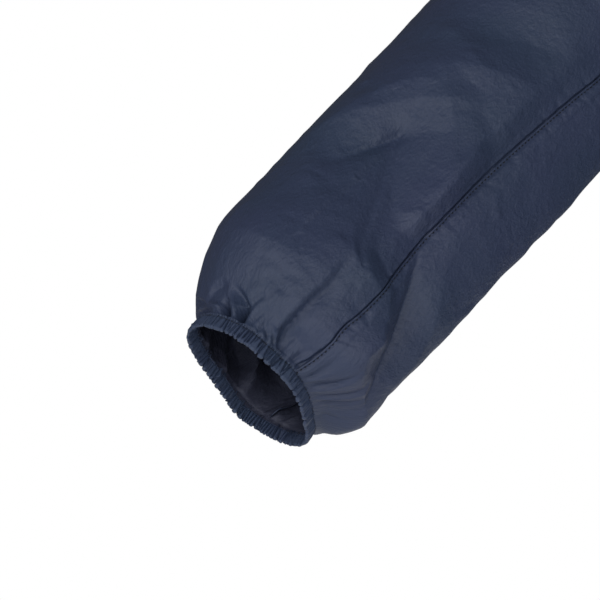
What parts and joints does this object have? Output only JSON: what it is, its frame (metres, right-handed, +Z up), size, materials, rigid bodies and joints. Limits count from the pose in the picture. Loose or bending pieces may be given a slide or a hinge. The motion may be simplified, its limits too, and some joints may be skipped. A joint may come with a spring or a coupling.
{
  "type": "lightweight zip jacket",
  "caption": "Zip jacket in thin woven shell cloth, filled out as if worn, with a stand collar, set-in two-piece sleeves and gathered elastic cuffs.",
  "frame": {"origin": "between the shoulders on the centre plane, level with the points where the neckline meets the shoulder seams; the jacket hangs from there on its wearer's shoulders", "axes": "+Z up, the front with its zip faces -Y, +X is the wearer's left"},
  "size_m": [1.2326, 0.3023, 0.7189],
  "materials": {
    "shell": "navy, thin and slightly papery plain weave with a faint sheen and fine crinkles",
    "casing": "the same navy cloth, gathered in narrow ribs over elastic",
    "tape": "dark navy woven zip tape, matt",
    "coil": "near-black coil teeth",
    "metal": "dark painted metal, satin"
  },
  "bodies": {
    "garment": {"back": "shell", "front_right": "shell", "front_left": "shell", "sleeve_upper_right": "shell", "sleeve_upper_left": "shell", "sleeve_under_right": "shell", "sleeve_under_left": "shell", "collar": "shell", "cuff_right": "casing", "cuff_left": "casing", "zip_tape_right": "tape", "zip_tape_left": "tape", "zip_chain": "coil", "zip_box": "metal", "zip_slider": "metal"},
    "pull_tab": {"zip_pull": "metal"}
  },
  "joints": [
    {"name": "pull_hinge", "type": "hinge", "parent": "garment", "child": "pull_tab", "pos_m": [0, -0.08321, -0.0181], "axis": [-1, 0, 0], "range_deg": [-3, 170]}
  ]
}
